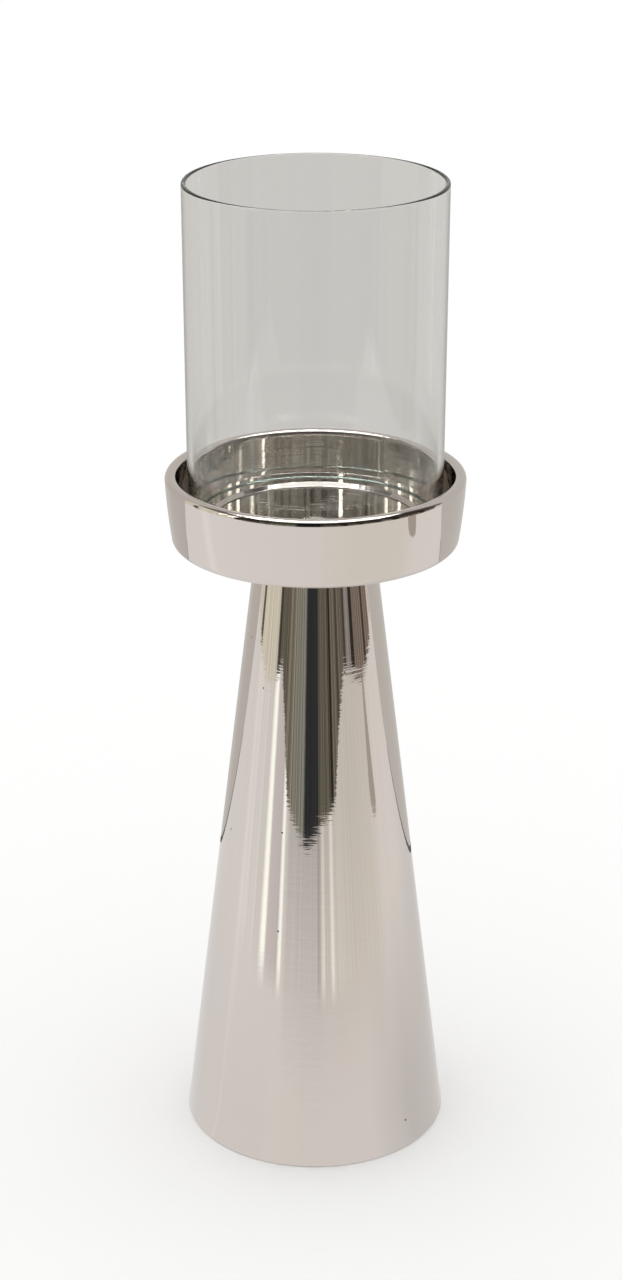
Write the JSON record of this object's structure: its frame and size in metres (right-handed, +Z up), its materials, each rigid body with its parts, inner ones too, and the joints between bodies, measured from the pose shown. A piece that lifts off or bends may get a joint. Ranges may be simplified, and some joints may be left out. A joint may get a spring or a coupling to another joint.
{
  "type": "hurricane candle lantern",
  "caption": "Free-standing candle lantern: a clear glass cylinder, open at both ends, standing loose in a polished round tray on a tall mirror-polished metal cone.",
  "frame": {"origin": "centre of the foot, on the surface the lantern stands on", "axes": "+Z up along the lantern's axis; the lantern is round, so X and Y are free"},
  "size_m": [0.14, 0.14, 0.472],
  "materials": {
    "polished_nickel": "mirror polished, slightly warm, faint spinning lines",
    "clear_glass": "clear, fire-polished ends",
    "zinc_steel": "bright zinc plated",
    "cast_iron": "as cast, black",
    "felt": "pressed felt",
    "gasket_rubber": "matt",
    "nylon": "natural nylon",
    "bush_aluminium": "turned"
  },
  "bodies": {
    "stand": {"foot_felt": "felt", "base_plate": "zinc_steel", "ballast_ring": "cast_iron", "fender_washer": "zinc_steel", "spring_washer": "zinc_steel", "hex_nut": "zinc_steel", "cone_shell": "polished_nickel", "neck_plate": "zinc_steel", "tie_rod": "zinc_steel", "tray_gasket": "gasket_rubber", "tray_outer_shell": "polished_nickel", "tray_inner_pan": "polished_nickel", "spacer_bush": "bush_aluminium", "cap_washer": "nylon", "cap_nut": "polished_nickel"},
    "glass": {"glass_cylinder": "clear_glass"}
  },
  "joints": [
    {"name": "glass_lift", "type": "slide", "parent": "stand", "child": "glass", "axis": [0, 0, 1], "range_m": [0, 0.06]}
  ]
}
